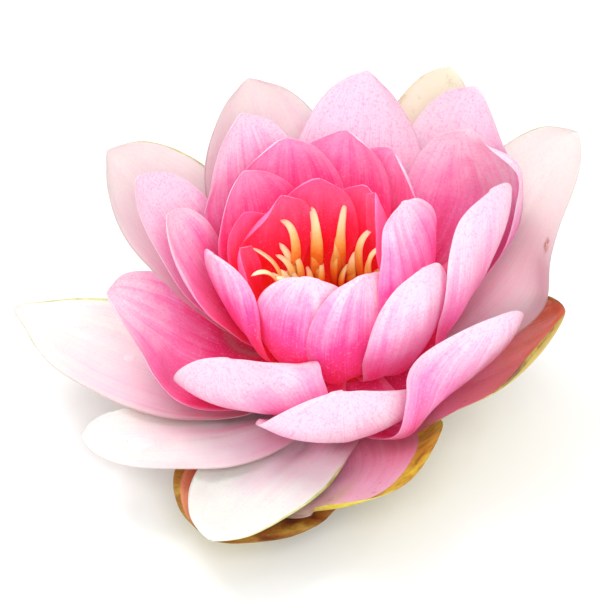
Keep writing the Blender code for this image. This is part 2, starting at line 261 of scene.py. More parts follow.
@dataclass(frozen=True)
class BladeFinish:
    """How a whorl's petals or sepals are coloured, from the claw at 0 to the tip at 1."""

    name: str
    front: Stops
    back: Stops
    margin: Colour
    margin_share: float = 0.35
    streak: float = 0.16
    stipple: float = 0.22
    stipple_tint: Colour = (0.86, 0.12, 0.38)
    bloom: Colour = (0.95, 0.62, 0.76)
    age: Colour = (0.40, 0.20, 0.05)
    age_share: float = 0.0
    rim: Stops = ((0.35, (0.30, 0.38, 0.06)), (0.65, (0.66, 0.70, 0.30)))
    roughness: float = 0.50
    glow: float = 0.45
    # Painted glow: the blade also emits its own colour at this strength, standing in for light that shines
    # through the thin petals.
    painted_glow: float = 0.0

    # How many there are over half a blade's width.
    BANDS, VEINS, HAIRS = 4.0, 30.0, 85.0
    # How many there are in a metre.
    MOTTLES, SPECKS, WORN_SPOTS, RIM_BLOTCHES, BRUISE_SPOTS = 170.0, 1500.0, 260.0, 220.0, 900.0
    BRUISE = (0.33, 0.16, 0.05)

    def material(self) -> bpy.types.Material:
        """Returns the finish as a material."""
        graph = Graph(self.name)
        along, across, seed = (graph.attribute(name) for name in ("along", "across", "seed"))
        place = graph.place()
        broad = graph.grain(graph.vector(across * self.BANDS, along * 0.9, seed), 1.0, 2.0)
        fine = graph.grain(graph.vector(across * self.VEINS, along * 2.0, seed + 7.0), 1.0, 3.0, 0.6)
        hair = graph.grain(graph.vector(across * self.HAIRS, along * 5.0, seed + 3.0), 1.0, 2.0)
        mottle = graph.grain(place, self.MOTTLES, 3.0, 0.6)
        speck = graph.grain(place, self.SPECKS, 2.0, 0.75)
        edge = graph.step(abs(across) + (fine - 0.5) * 0.08, 0.80, 1.0)

        tone = along + graph.attribute("fade") + (broad - 0.5) * (self.streak * 2.0)
        tone = tone + (fine - 0.5) * (self.streak * 1.5) + (mottle - 0.5) * 0.26
        facing_in = graph.step(graph.attribute("inside"), 0.35, 0.65)
        colour = graph.mix(facing_in, graph.ramp(tone, self.back), graph.ramp(tone, self.front))
        colour = graph.mix(graph.step(speck, 0.48, 0.70) * self.stipple, colour, self.stipple_tint)
        colour = graph.mix(graph.step(hair, 0.52, 0.68) * (self.stipple * 0.8), colour, self.stipple_tint)
        colour = graph.mix((1.0 - graph.step(speck, 0.30, 0.46)) * (self.stipple * 0.7), colour, self.bloom)
        colour = graph.mix(edge * self.margin_share, colour, self.margin)
        colour = self._weathered(graph, colour, place, edge, mottle)
        graph.set("Base Color", colour)
        # Painted glow: the colour is emitted as well, a stand-in for light that shines through the thin
        # petals.
        graph.set("Emission Color", colour)
        graph.set("Emission Strength", self.painted_glow)
        graph.set("Roughness", self.roughness + (mottle - 0.5) * 0.14)
        graph.bump(fine * 0.55 + hair * 0.20 + speck * 0.25, 0.12 * MM)
        graph.flesh(self.glow, (1.0, 0.35, 0.45), 2.2)
        graph.set("Sheen Weight", 0.04)
        graph.set("Specular IOR Level", 0.28)
        return graph.material

    def _weathered(self, graph: Graph, colour: Signal, place: Signal, edge: Signal, mottle: Signal) -> Signal:
        """Adds worn spots, the rims and a bruise to a colour.

        Args:
            graph: The material's graph.
            colour: The blade's colour so far.
            place: Object coordinates.
            edge: 1 at the margins.
            mottle: Soft blotches, which break up the rims' inner border.

        Returns:
            The colour with its marks.
        """
        if self.age_share:
            worn = graph.step(graph.grain(place, self.WORN_SPOTS, 4.0, 0.65) + edge * 0.10, 0.60, 0.74)
            colour = graph.mix(worn * self.age_share, colour, self.age)
        rim = graph.ramp(graph.grain(place, self.RIM_BLOTCHES, 4.0, 0.6), self.rim)
        colour = graph.mix(graph.step(graph.attribute("rim") + (mottle - 0.5) * 0.5, 0.3, 0.7), colour, rim)
        spots = graph.step(graph.grain(place, self.BRUISE_SPOTS, 3.0, 0.7), 0.40, 0.56)
        return graph.mix(graph.attribute("bruise") * spots, colour, self.BRUISE)


# The pink petal finishes carry painted glow, strongest on the inner petals.
INNER_FINISH = BladeFinish(
    "inner_petal_rose",
    front=((0.0, (0.95, 0.030, 0.004)), (0.30, (0.96, 0.008, 0.012)), (0.54, (0.96, 0.030, 0.11)),
           (0.90, (0.96, 0.15, 0.36))),
    back=((0.0, (0.92, 0.01, 0.03)), (0.45, (0.95, 0.05, 0.20)), (1.0, (0.96, 0.22, 0.48))),
    margin=(0.96, 0.26, 0.48),
    margin_share=0.06,
    streak=0.14,
    stipple=0.24,
    stipple_tint=(0.93, 0.04, 0.18),
    painted_glow=0.16,
    bloom=(0.96, 0.30, 0.48),
)
CROWN_FINISH = BladeFinish(
    "crown_petal_pink",
    front=((0.0, (0.93, 0.006, 0.02)), (0.32, (0.95, 0.014, 0.11)), (0.64, (0.96, 0.09, 0.33)),
           (0.95, (0.96, 0.40, 0.62))),
    back=((0.0, (0.90, 0.003, 0.025)), (0.32, (0.94, 0.010, 0.12)), (0.58, (0.95, 0.070, 0.34)),
          (0.78, (0.94, 0.32, 0.58)), (0.96, (0.93, 0.62, 0.76))),
    margin=(0.94, 0.46, 0.66),
    margin_share=0.10,
    streak=0.20,
    stipple=0.34,
    painted_glow=0.08,
)
MIDDLE_FINISH = BladeFinish(
    "middle_petal_pink",
    front=((0.0, (0.90, 0.010, 0.07)), (0.28, (0.93, 0.035, 0.21)), (0.54, (0.94, 0.24, 0.50)),
           (0.86, (0.92, 0.68, 0.79))),
    back=((0.0, (0.90, 0.006, 0.06)), (0.28, (0.93, 0.028, 0.20)), (0.56, (0.92, 0.21, 0.48)),
          (0.90, (0.88, 0.62, 0.75))),
    margin=(0.86, 0.66, 0.74),
    margin_share=0.20,
    streak=0.22,
    stipple=0.34,
    painted_glow=0.05,
)
OUTER_FINISH = BladeFinish(
    "outer_petal_blush",
    front=((0.0, (0.78, 0.10, 0.28)), (0.24, (0.77, 0.32, 0.46)), (0.50, (0.75, 0.54, 0.60)),
           (0.9, (0.72, 0.68, 0.63))),
    back=((0.0, (0.34, 0.34, 0.08)), (0.22, (0.58, 0.42, 0.30)), (0.60, (0.72, 0.54, 0.52)),
          (1.0, (0.68, 0.65, 0.52))),
    margin=(0.70, 0.70, 0.56),
    margin_share=0.30,
    streak=0.26,
    stipple=0.16,
    stipple_tint=(0.82, 0.42, 0.54),
    age_share=0.10,
)
SEPAL_FINISH = BladeFinish(
    "sepal_olive",
    front=((0.0, (0.74, 0.08, 0.20)), (0.35, (0.82, 0.24, 0.40)), (0.70, (0.85, 0.46, 0.58)),
           (1.0, (0.70, 0.50, 0.38))),
    back=((0.0, (0.20, 0.11, 0.02)), (0.45, (0.44, 0.34, 0.02)), (0.8, (0.52, 0.44, 0.05)),
          (1.0, (0.36, 0.28, 0.05))),
    margin=(0.66, 0.60, 0.30),
    margin_share=0.45,
    streak=0.26,
    stipple=0.14,
    stipple_tint=(0.70, 0.10, 0.18),
    age=(0.34, 0.10, 0.01),
    age_share=0.40,
    rim=((0.30, (0.14, 0.06, 0.004)), (0.44, (0.42, 0.30, 0.012)), (0.60, (0.62, 0.54, 0.03))),
)
RUSSET_SEPAL_FINISH = BladeFinish(
    "sepal_russet",
    front=((0.0, (0.50, 0.06, 0.04)), (0.45, (0.56, 0.13, 0.05)), (0.8, (0.58, 0.22, 0.10)),
           (1.0, (0.40, 0.26, 0.06))),
    back=SEPAL_FINISH.back,
    margin=(0.44, 0.34, 0.10),
    margin_share=0.55,
    streak=0.26,
    stipple=0.14,
    stipple_tint=(0.40, 0.05, 0.02),
    age=(0.16, 0.07, 0.01),
    age_share=0.5,
    rim=((0.34, (0.05, 0.03, 0.004)), (0.52, (0.20, 0.14, 0.01)), (0.70, (0.42, 0.34, 0.04))),
)
SALMON_SEPAL_FINISH = BladeFinish(
    "sepal_salmon",
    front=((0.0, (0.84, 0.14, 0.32)), (0.40, (0.88, 0.38, 0.50)), (0.70, (0.84, 0.38, 0.32)),
           (0.95, (0.56, 0.18, 0.05))),
    back=SEPAL_FINISH.back,
    margin=(0.62, 0.50, 0.22),
    margin_share=0.40,
    streak=0.26,
    stipple=0.16,
    stipple_tint=(0.66, 0.08, 0.10),
    age=(0.30, 0.09, 0.01),
    age_share=0.35,
    rim=RUSSET_SEPAL_FINISH.rim,
)
PALE_SEPAL_FINISH = BladeFinish(
    "sepal_pale_green",
    front=((0.0, (0.80, 0.40, 0.44)), (0.45, (0.80, 0.70, 0.56)), (1.0, (0.78, 0.76, 0.56))),
    back=SEPAL_FINISH.back,
    margin=(0.62, 0.58, 0.26),
    margin_share=0.5,
    streak=0.24,
    stipple=0.08,
    stipple_tint=(0.62, 0.60, 0.30),
    age=(0.36, 0.20, 0.03),
    age_share=0.30,
)


@dataclass(frozen=True)
class FleshFinish:
    """Moist flesh with a fine grain, coloured from its foot at 0 to its top at 1."""

    name: str
    stops: Stops
    grains: float
    wander: float
    roughness: float
    roughness_spread: float
    relief_mm: float
    glow: float
    detail: float = 3.0
    reach: Colour = (1.0, 0.5, 0.2)
    depth_mm: float = 1.0

    def material(self) -> bpy.types.Material:
        """Returns the finish as a material."""
        graph = Graph(self.name)
        grain = graph.grain(graph.place(), self.grains, self.detail, 0.6)
        tone = graph.attribute("along") + (grain - 0.5) * self.wander
        graph.set("Base Color", graph.ramp(tone, self.stops))
        graph.set("Roughness", self.roughness + (grain - 0.5) * self.roughness_spread)
        graph.bump(grain, self.relief_mm * MM)
        graph.flesh(self.glow, self.reach, self.depth_mm)
        return graph.material


# Cream anthers that turn golden and then red-orange towards the foot.
STAMEN_FINISH = FleshFinish(
    "stamen_cream",
    stops=((0.12, (0.84, 0.05, 0.01)), (0.34, (0.94, 0.28, 0.03)), (0.50, (0.95, 0.60, 0.15)),
           (0.72, (0.96, 0.80, 0.40)), (1.0, (0.97, 0.88, 0.58))),
    grains=1600.0,
    wander=0.18,
    roughness=0.50,
    roughness_spread=0.2,
    relief_mm=0.08,
    glow=0.3,
    depth_mm=1.2,
)
# The golden disc at the flower's heart, brighter on its rays.
STIGMA_FINISH = FleshFinish(
    "stigma_gold",
    stops=((0.15, (0.80, 0.26, 0.02)), (0.85, (0.94, 0.62, 0.12))),
    grains=1400.0,
    wander=0.4,
    roughness=0.32,
    roughness_spread=0.2,
    relief_mm=0.10,
    glow=0.2,
)
# An olive stem, paler on the cut and redder where the petals join.
STEM_FINISH = FleshFinish(
    "stem_olive",
    stops=((0.0, (0.46, 0.50, 0.24)), (0.25, (0.20, 0.20, 0.05)), (0.55, (0.40, 0.10, 0.04)),
           (0.72, (0.80, 0.03, 0.03)), (1.0, (0.88, 0.10, 0.01))),
    grains=420.0,
    wander=0.25,
    roughness=0.42,
    roughness_spread=0.25,
    relief_mm=0.25,
    glow=0.1,
    detail=4.0,
    reach=(0.6, 0.8, 0.3),
)


@dataclass(frozen=True)
class WaterFinish:
    """Clear water with a pale painted reflection, which covers what it lies on more towards a drop's edge."""

    name: str = "clear_water"
    # Painted reflection: a pale colour that stands in for the light a clear drop reflects.
    painted_reflection: Colour = (0.93, 0.94, 0.95)
    index: float = 1.333
    middle_cover: float = 0.42
    edge_cover: float = 0.70

    def material(self) -> bpy.types.Material:
        """Returns the finish as a material."""
        graph = Graph(self.name)
        facing = graph.node("ShaderNodeLayerWeight", inputs={"Blend": 0.35}, output="Facing")
        graph.set("Base Color", self.painted_reflection)
        graph.set("Roughness", 0.03)
        graph.set("IOR", self.index)
        graph.set("Specular IOR Level", 1.0)
        # The painted reflection covers more where the drop's surface turns away from the view, as a real drop
        # reflects more there.
        graph.set("Alpha", self.middle_cover + facing * (self.edge_cover - self.middle_cover))
        return graph.material


@dataclass(frozen=True)
class FloorFinish:
    """A plain pale table top."""

    name: str = "pale_table"
    colour: Colour = (0.90, 0.90, 0.91)

    def material(self) -> bpy.types.Material:
        """Returns the finish as a material."""
        graph = Graph(self.name)
        graph.set("Base Color", self.colour)
        graph.set("Roughness", 0.7)
        return graph.material


# ---------------------------------------------------------------- reading a sheet back from its node


class SheetReader:
    """Reads a petal's node back as a grid of points on the face that looks into the flower."""

    COLUMNS = 6
    WELD = 0.01 * MM
    RELAXING_ROUNDS = 400
    LOOKING_UP = 0.08

    def __init__(self, node: bpy.types.Object, axis: Vector) -> None:
        """Welds a copy of the node's mesh.

        Args:
            node: The petal's or sepal's node.
            axis: A point on the flower's axis.
        """
        self.name = node.name
        self.axis = axis
        self.shape = bmesh.new()
        self.shape.from_mesh(node.data)
        bmesh.ops.remove_doubles(self.shape, verts=self.shape.verts, dist=self.WELD)
        self.shape.normal_update()

    def read(self) -> list[list[Vector]]:
        """Returns rows of points from the claw to the tip, each row counter-clockwise about the axis.

        Raises:
            ValueError: If the mesh can't be split into its two sides.
        """
        faces = self._inner_faces()
        rows = len(faces) // (2 * self.COLUMNS)
        rim = self._rim(faces)
        places = self._rim_places(rim, rows)
        self._spread_inside(faces, places, rows)
        grid = [[Vector() for _ in range(self.COLUMNS + 1)] for _ in range(rows + 1)]
        for vert, (row, column) in places.items():
            grid[round(row)][round(column)] = vert.co.copy()
        self.shape.free()
        middle = grid[rows // 2]
        outwards = middle[self.COLUMNS // 2] - self.axis
        turning = Vector((0, 0, 1)).cross(outwards)
        if (middle[-1] - middle[0]).dot(turning) < 0:
            grid = [row[::-1] for row in grid]
        return grid

    def _regions(self, size: int) -> list[set]:
        """Returns groups of faces, joined over the flattest edges first, none above a size."""
        group = {face: {face} for face in self.shape.faces}
        joints = [edge for edge in self.shape.edges if len(edge.link_faces) == 2]
        for edge in sorted(joints, key=bmesh.types.BMEdge.calc_face_angle):
            near, far = (group[face] for face in edge.link_faces)
            if near is not far and len(near) + len(far) <= size:
                near |= far
                group.update({face: near for face in far})
        return sorted({id(region): region for region in group.values()}.values(), key=len, reverse=True)

    def _inner_faces(self) -> set:
        """Returns the faces of the side that looks at the flower's axis."""
        rows = (len(self.shape.faces) - 4 * self.COLUMNS) // (4 * self.COLUMNS + 4)
        size = 2 * self.COLUMNS * rows
        first, second = self._regions(size)[:2]
        verts = list(self.shape.verts)
        leans = {vert: sum((face in first) - (face in second) for face in vert.link_faces) for vert in verts}
        unsure = [vert for vert in verts if leans[vert] == 0]
        for guess in itertools.product((1, -1), repeat=len(unsure)):
            leans.update(zip(unsure, guess))
            sides = [
                {face for face in self.shape.faces if all(leans[vert] * way > 0 for vert in face.verts)}
                for way in (1, -1)
            ]
            if all(len(side) == size for side in sides):
                return max(sides, key=self._inwardness)
        raise ValueError(f"{self.name} can't be split into its two sides")

    def _inwardness(self, faces: set) -> float:
        """Returns how much a side's normals point at a place high on the axis."""
        goal = Vector((self.axis.x, self.axis.y, self.LOOKING_UP))
        return sum(face.normal.dot((goal - face.calc_center_median()).normalized()) for face in faces)

    @staticmethod
    def _rim(faces: set) -> list:
        """Returns a side's border points in order."""
        edges = [edge for face in faces for edge in face.edges]
        border = [edge for edge in edges if sum(near in faces for near in edge.link_faces) == 1]
        loop = [border[0].verts[0], border[0].verts[1]]
        left = set(border[1:])
        while left:
            following = next(edge for edge in left if loop[-1] in edge.verts)
            left.discard(following)
            loop.append(following.other_vert(loop[-1]))
        return loop[:-1]

    def _rim_places(self, rim: list, rows: int) -> dict:
        """Gives the border points their row and column; the tip is the side with the shortest edges."""
        count, columns = len(rim), self.COLUMNS

        def side_length(start: int) -> float:
            """Returns the length of one row of edges from a start."""
            points = [rim[(start + step) % count].co for step in range(columns + 1)]
            return sum((after - before).length for before, after in zip(points, points[1:]))

        tip = min(range(count), key=side_length)
        walk = [(rows, column) for column in range(columns)]
        walk += [(row, columns) for row in range(rows, 0, -1)]
        walk += [(0, column) for column in range(columns, 0, -1)]
        walk += [(row, 0) for row in range(rows)]
        return {rim[(tip + step) % count]: place for step, place in enumerate(walk)}

    def _spread_inside(self, faces: set, places: dict, rows: int) -> None:
        """Spreads rows and columns evenly from the border over the points inside it."""
        inside = {vert for face in faces for vert in face.verts} - set(places)
        around = {vert: [edge.other_vert(vert) for edge in vert.link_edges] for vert in inside}
        for vert in inside:
            places[vert] = (rows / 2, self.COLUMNS / 2)
        for _ in range(self.RELAXING_ROUNDS):
            for vert, near in around.items():
                places[vert] = tuple(sum(places[other][k] for other in near) / len(near) for k in range(2))


def smooth_point(points: Sequence[Vector], place: float) -> Vector:
    """Returns a point on the smooth curve through points.

    Args:
        points: The points, at places 0, 1, 2 and so on.
        place: Where to read the curve.

    Returns:
        The point.
    """
    index = min(int(place), len(points) - 2)
    share = place - index
    first, second = points[index], points[index + 1]
    before = points[index - 1] if index else first * 2 - second
    after = points[index + 2] if index + 2 < len(points) else second * 2 - first
    slope_in, slope_out = (second - before) / 2, (after - first) / 2
    square, cube = share**2, share**3
    start = first * (2 * cube - 3 * square + 1) + slope_in * (cube - 2 * square + share)
    return start + second * (3 * square - 2 * cube) + slope_out * (cube - square)


def value_between(values: Sequence[float], place: float) -> float:
    """Returns a value read between the values at places 0, 1, 2 and so on."""
    index = min(int(place), len(values) - 2)
    return values[index] + (values[index + 1] - values[index]) * (place - index)


def ease(value: float, low: float, high: float) -> float:
    """Returns 0 below low, 1 above high, and a smooth rise between."""
    share = min(max((value - low) / (high - low), 0.0), 1.0)
    return share * share * (3 - 2 * share)


def link_piece(shape: bmesh.types.BMesh, name: str, material: bpy.types.Material) -> bpy.types.Object:
    """Turns a bmesh into a smooth object in the scene.

    Args:
        shape: The mesh in the making, freed here.
        name: The object's name.
        material: Its finish.

    Returns:
        The object.
    """
    mesh = bpy.data.meshes.new(name)
    shape.to_mesh(mesh)
    shape.free()
    mesh.shade_smooth()
    mesh.materials.append(material)
    made = bpy.data.objects.new(name, mesh)
    bpy.context.scene.collection.objects.link(made)
    return made


def stand_for(piece: bpy.types.Object, node: str, slot: str) -> None:
    """Lets a piece ride on the flower in place of its node."""
    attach(piece, BODY)
    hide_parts(node)


# ---------------------------------------------------------------- petals and sepals


@dataclass(frozen=True)
class Rim:
    """A rolled or weathered margin: which side, how wide, and which part of the blade's length."""

    side: int
    width: float
    start: float = 0.0
    end: float = 1.1
    softness: float = 0.10

    FADES = 0.08

    def at(self, along: float, across: float) -> float:
        """Returns how much a place belongs to the rim, from 0 to 1."""
        inwards = 1 - across * self.side
        reach = 1 - ease(inwards, self.width - self.softness / 2, self.width + self.softness / 2)
        starting = ease(along, self.start, self.start + self.FADES)
        return reach * starting * (1 - ease(along, self.end - self.FADES, self.end))


@dataclass(frozen=True)
class Traits:
    """What sets one blade apart from the others of its whorl. Lengths are in millimetres."""

    fade: float = 0.0
    ruffle_mm: float = 0.35
    waves: float = 2.2
    rims: tuple[Rim, ...] = ()
    bruise: Optional[tuple[float, float, float]] = None


class Whorl(Enum):
    """The rings of petals and sepals: the first word of their nodes' names, their slot and their finish."""

    INNER = ("inner", "deep_rose", INNER_FINISH)
    CROWN = ("crown", "rose", CROWN_FINISH)
    MIDDLE = ("middle", "pink", MIDDLE_FINISH)
    OUTER = ("outer", "blush", OUTER_FINISH)
    SEPAL = ("sepal", "sepal_green", SEPAL_FINISH)

    @property
    def prefix(self) -> str:
        """Returns the first word of the nodes' names."""
        return self.value[0]

    @property
    def slot(self) -> str:
        """Returns the record's material slot."""
        return self.value[1]

    @property
    def finish(self) -> BladeFinish:
        """Returns the whorl's finish."""
        return self.value[2]


TRAITS = {
    "crown_petal_front_left": Traits(fade=0.04),
    "middle_petal_front": Traits(fade=0.22, ruffle_mm=0.8, waves=1.6),
    "middle_petal_front_left": Traits(fade=0.14, ruffle_mm=0.8, waves=2.0),
    "middle_petal_right_front": Traits(fade=0.06),
    "middle_petal_low_right": Traits(fade=0.06),
    "middle_petal_low_left": Traits(fade=-0.04),
    "middle_petal_top": Traits(fade=0.20),
    "middle_petal_far_right": Traits(fade=0.34),
    "middle_petal_high_left": Traits(fade=0.10),
    "middle_petal_right": Traits(fade=0.06, bruise=(0.50, 0.92, 0.05)),
    "outer_petal_right": Traits(fade=0.20, rims=(Rim(1, 0.02, 0.80),), bruise=(0.64, -0.74, 0.03)),
    "outer_petal_left": Traits(rims=(Rim(-1, 0.03, 0.45),)),
    "outer_petal_front": Traits(fade=0.14, rims=(Rim(1, 0.05, 0.35),)),
    "outer_petal_front_left": Traits(fade=0.05),
    "outer_petal_far_left": Traits(fade=0.10, rims=(Rim(-1, 0.06, 0.50), Rim(1, 0.03, 0.80))),
    "sepal_front_right": Traits(ruffle_mm=0.7, rims=(Rim(1, 0.34, 0.30),)),
    "sepal_right": Traits(rims=(Rim(-1, 0.16, 0.62), Rim(1, 0.10, 0.80))),
    "sepal_front": Traits(rims=(Rim(1, 0.7, 0.2), Rim(-1, 0.12, 0.4))),
}


SPECIAL_FINISHES = {
    "sepal_back": PALE_SEPAL_FINISH,
    "sepal_front": RUSSET_SEPAL_FINISH,
    "sepal_right": SALMON_SEPAL_FINISH,
}
BLADE_MARKS = ("along", "across", "seed", "inside", "fade", "rim", "bruise", "closing")


@dataclass
class Blade:
    """One petal or sepal, laid out finely over the grid read from its node."""

    node: str
    whorl: Whorl
    traits: Traits
    seed: int
    columns: int = 44
    rows: int = 84
    inset_mm: float = 0.10
    thickness_mm: float = 0.42
    edge_share: float = 0.35
    keel_mm: float = 0.22
    warp_mm: float = 0.30
    hook_mm: float = 6.6
    hook_start: float = 0.7
    warps: float = 60.0
    tip_rows: float = 0.42
    tip_closed: float = 0.994
    crowding: float = 1.5

    def build(self, frame: dict, axis: Vector, material: bpy.types.Material) -> bpy.types.Object:
        """Makes and dresses the blade.

        Args:
            axis: A point on the flower's axis.
            material: Its finish.

        Returns:
            The blade's object.
        """
        grid = SheetReader(frame["nodes"][self.node], axis).read()
        shape = bmesh.new()
        bmesh.ops.create_grid(shape, x_segments=self.columns, y_segments=self.rows, size=1.0)
        layers = {name: shape.verts.layers.float.new(name) for name in BLADE_MARKS}
        self._lay_out(shape, grid, layers)
        self._ripple(shape, layers)
        self._thicken(shape, layers)
        piece = link_piece(shape, f"{self.node}_blade", material)
        stand_for(piece, self.node, self.whorl.slot)
        return piece

    def _lay_out(self, shape: bmesh.types.BMesh, grid: list[list[Vector]], layers: dict) -> None:
        """Moves a flat grid onto the sheet, with its tip drawn to a soft point."""
        last = len(grid) - 1
        lines: dict[float, list[Vector]] = {}
        for vert in shape.verts:
            across, share = vert.co.x, 1 - ((1 - vert.co.y) / 2) ** self.crowding
            if across not in lines:
                lines[across] = [smooth_point(row, (across + 1) / 2 * SheetReader.COLUMNS) for row in grid]
            vert[layers["across"]] = across
            vert[layers["along"]] = share
        middle = [smooth_point(row, SheetReader.COLUMNS / 2) for row in grid]
        lengths = self._lengths(middle)
        for vert in shape.verts:
            across, share = vert[layers["across"]], vert[layers["along"]]
            place = share * last
            point = smooth_point(lines[vert.co.x], place)
            closing = max((place - last) / self.tip_rows + 1, 0.0) * self.tip_closed
            centre = smooth_point(middle, place)
            vert.co = centre.lerp(point, math.sqrt(1 - closing**2))
            vert[layers["closing"]] = closing
            vert[layers["along"]] = value_between(lengths, place)
            vert[layers["seed"]] = self.seed * 3.7
            vert[layers["fade"]] = self.traits.fade
            along = vert[layers["along"]]
            vert[layers["rim"]] = max((rim.at(along, across) for rim in self.traits.rims), default=0.0)
            vert[layers["bruise"]] = self._bruise(along, across)
        shape.normal_update()

    @staticmethod
    def _lengths(middle: Sequence[Vector]) -> list[float]:
        """Returns each midrib point's share of the midrib's length."""
        runs = [0.0]
        for before, after in zip(middle, middle[1:]):
            runs.append(runs[-1] + (after - before).length)
        return [run / runs[-1] for run in runs]

    def _bruise(self, along: float, across: float) -> float:
        """Returns how much of a brown bruise a place has."""
        if self.traits.bruise is None:
            return 0.0
        middle_along, middle_across, size = self.traits.bruise
        away = math.hypot(along - middle_along, (across - middle_across) * 0.3)
        return 1 - ease(away, size * 0.4, size)

    def _ripple(self, shape: bmesh.types.BMesh, layers: dict) -> None:
        """Waves the margins, sinks the midrib and hooks the tip, all along the surface's normals."""
        random_source = random.Random(self.seed)
        phases = {-1: random_source.random(), 1: random_source.random()}
        offset = Vector((self.seed * 1.7, 0, 0))
        steady = self._steady_normals(shape, layers)
        moves = {}
        for vert in shape.verts:
            along, across = vert[layers["along"]], vert[layers["across"]]
            side = 1 if across > 0 else -1
            free = ease(along, 0.15, 0.5)
            wave = math.sin(math.tau * (self.traits.waves * along + phases[side]))
            move = self.traits.ruffle_mm * abs(across) ** 3 * wave * free
            move += self.keel_mm * math.exp(-((across / 0.10) ** 2)) * free * (1 - ease(along, 0.8, 1.0))
            move += self.warp_mm * noise.noise(vert.co * self.warps + offset) * free
            move -= self.hook_mm * max(along - self.hook_start, 0.0) ** 2
            moves[vert] = steady[vert] * (move * MM)
        for vert, move in moves.items():
            vert.co += move
        shape.normal_update()

    @staticmethod
    def _steady_normals(shape: bmesh.types.BMesh, layers: dict) -> dict:
        """Returns the normals, evened out over the closing tip, where the faces are slivers."""
        open_verts = [vert for vert in shape.verts if vert[layers["closing"]] == 0]
        edge = max(vert[layers["along"]] for vert in open_verts)
        near = [vert.normal for vert in open_verts if vert[layers["along"]] > edge - 0.02]
        tip = sum(near, Vector()).normalized()
        evened = {vert: ease(vert[layers["closing"]], 0.0, 0.6) for vert in shape.verts}
        return {vert: vert.normal.lerp(tip, share).normalized() for vert, share in evened.items()}

    def _thicken(self, shape: bmesh.types.BMesh, layers: dict) -> None:
        """Closes the sheet into a thin solid, thinnest at its margins."""
        number = shape.verts.layers.int.new("number")
        steady = self._steady_normals(shape, layers)
        outwards = []
        for index, vert in enumerate(shape.verts):
            vert[number] = index
            outwards.append(steady[vert].copy())
        inner = list(shape.faces)
        made = bmesh.ops.extrude_face_region(shape, geom=inner, use_keep_orig=True)["geom"]
        outer = {item for item in made if isinstance(item, bmesh.types.BMVert)}
        bmesh.ops.reverse_faces(shape, faces=inner)
        for vert in shape.verts:
            push = self.inset_mm
            vert[layers["inside"]] = 0.0 if vert in outer else 1.0
            if vert in outer:
                rounded = 1 - abs(vert[layers["across"]]) ** 4
                tapered = (1 - 0.45 * vert[layers["along"]]) * (1 - 0.85 * vert[layers["closing"]] ** 2)
                push += self.thickness_mm * (self.edge_share + (1 - self.edge_share) * rounded) * tapered
            vert.co += outwards[vert[number]] * (push * MM)
        shape.verts.layers.int.remove(number)


class Corolla:
    """All the petals and sepals."""

    def __init__(self, frame: dict, axis: Vector) -> None:
        """Finds the blades' nodes.

        Args:
            axis: A point on the flower's axis.
        """
        self.frame = frame
        self.axis = axis
        self.blades = list(self._blades())

    def _blades(self) -> Iterator[Blade]:
        """Yields a blade for each petal's and sepal's node."""
        for whorl in Whorl:
            for node in sorted(name for name in self.frame["nodes"] if name.startswith(f"{whorl.prefix}_")):
                yield Blade(node, whorl, TRAITS.get(node, Traits()), seed=sum(map(ord, node)) % 97)

    def build(self) -> dict[str, bpy.types.Object]:
        """Makes and dresses every blade.

        Returns:
            The pieces by their nodes' names.
        """
        materials = {whorl: whorl.finish.material() for whorl in Whorl}
        special = {node: finish.material() for node, finish in SPECIAL_FINISHES.items()}
        pieces = {}
        for blade in self.blades:
            material = special.get(blade.node, materials[blade.whorl])
            piece = pieces[blade.node] = blade.build(self.frame, self.axis, material)
            LOG.info("%s: %d faces", piece.name, len(piece.data.polygons))
        return pieces


# ---------------------------------------------------------------- stamens


